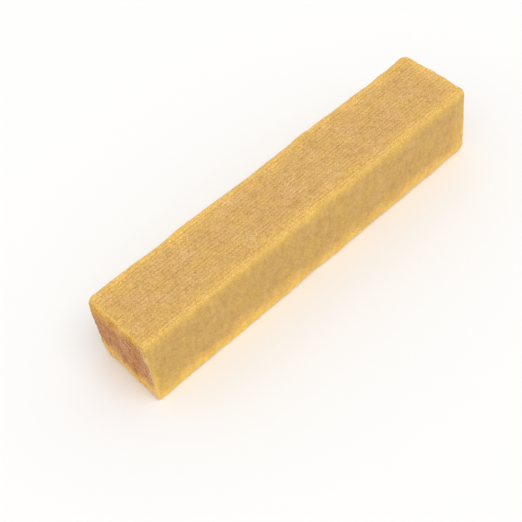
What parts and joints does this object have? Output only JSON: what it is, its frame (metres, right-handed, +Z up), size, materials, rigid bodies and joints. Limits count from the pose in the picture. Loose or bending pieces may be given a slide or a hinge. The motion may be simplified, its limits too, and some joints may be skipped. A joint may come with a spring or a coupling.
{
  "type": "sanding belt cleaning stick",
  "caption": "Square bar of plied natural crepe rubber, held by hand against a running sanding belt or disc to lift clogged dust out of the grit.",
  "frame": {"origin": "centre of the flat bottom face that the stick rests on", "axes": "+X along the length of the stick, +Y across the plies, +Z up from the bottom face"},
  "size_m": [0.2, 0.04, 0.04],
  "materials": {
    "face_ply_crepe": "raw rolled crepe rubber, matt and slightly translucent, blotchy tan with yellow edges",
    "inner_ply_crepe": "cut crepe rubber, matt and slightly translucent, fine lengthwise ply lines, tan with yellow edges"
  },
  "bodies": {
    "root": {"crepe_ply_01": "face_ply_crepe", "crepe_ply_02": "inner_ply_crepe", "crepe_ply_03": "inner_ply_crepe", "crepe_ply_04": "inner_ply_crepe", "crepe_ply_05": "inner_ply_crepe", "crepe_ply_06": "inner_ply_crepe", "crepe_ply_07": "inner_ply_crepe", "crepe_ply_08": "inner_ply_crepe", "crepe_ply_09": "inner_ply_crepe", "crepe_ply_10": "inner_ply_crepe", "crepe_ply_11": "inner_ply_crepe", "crepe_ply_12": "inner_ply_crepe", "crepe_ply_13": "inner_ply_crepe", "crepe_ply_14": "inner_ply_crepe", "crepe_ply_15": "inner_ply_crepe", "crepe_ply_16": "inner_ply_crepe", "crepe_ply_17": "inner_ply_crepe", "crepe_ply_18": "inner_ply_crepe", "crepe_ply_19": "inner_ply_crepe", "crepe_ply_20": "inner_ply_crepe", "crepe_ply_21": "inner_ply_crepe", "crepe_ply_22": "face_ply_crepe"}
  },
  "joints": []
}
